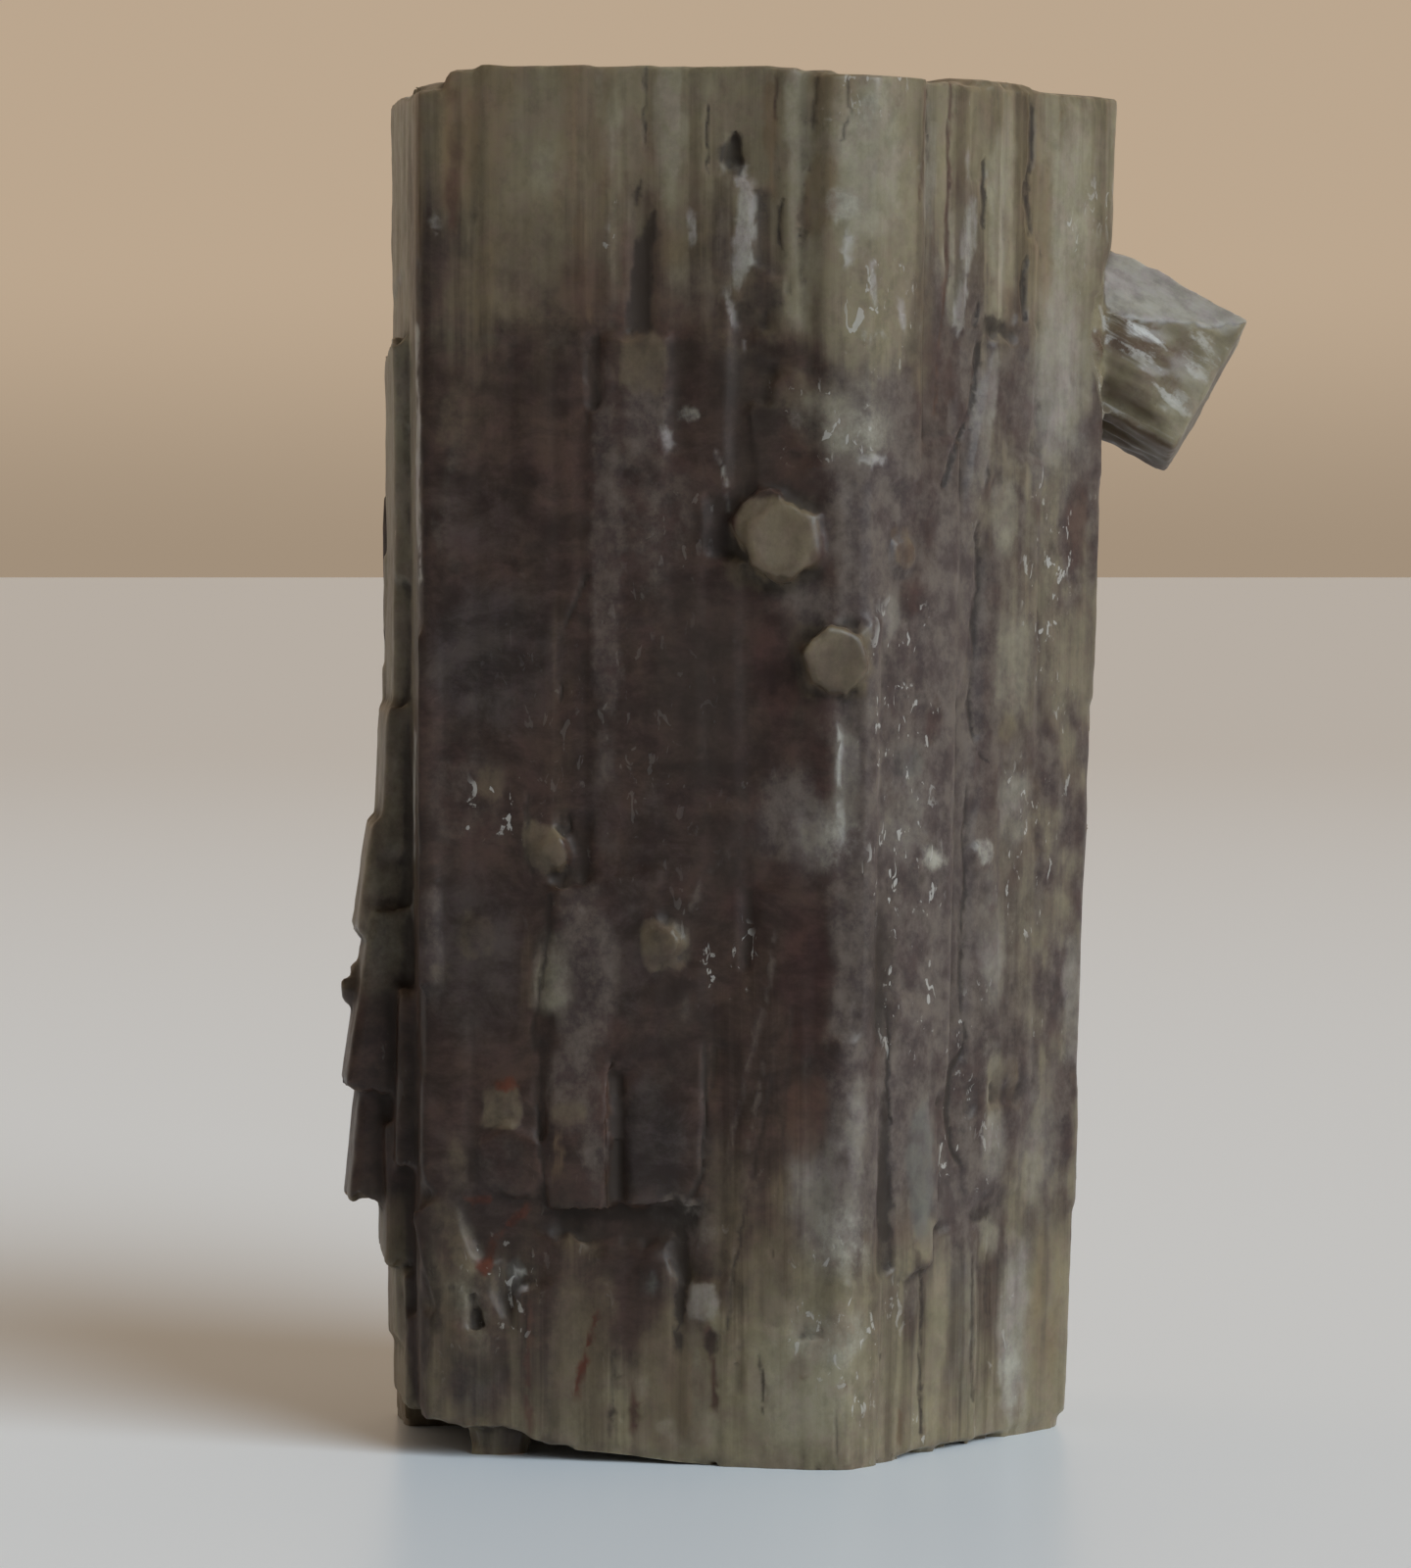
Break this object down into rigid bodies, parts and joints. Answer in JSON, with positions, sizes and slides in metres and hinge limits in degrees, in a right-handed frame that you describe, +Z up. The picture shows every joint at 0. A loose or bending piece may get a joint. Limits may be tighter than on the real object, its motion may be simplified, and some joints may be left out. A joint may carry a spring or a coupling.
{
  "type": "aragonite crystal",
  "caption": "Twinned aragonite crystal: a bladed, striated six-sided column with flat ends, stepped edges and a smaller crystal grown out of its side.",
  "frame": {"origin": "on the flat foot, near the middle of the column, at the height of the surface it stands on", "axes": "+Z up along the column; -Y towards the broad bladed front; +X towards the side crystal"},
  "size_m": [0.0343, 0.0258, 0.0505],
  "materials": {
    "aragonite": "satin"
  },
  "bodies": {
    "root": {"aragonite": "aragonite"}
  },
  "joints": []
}
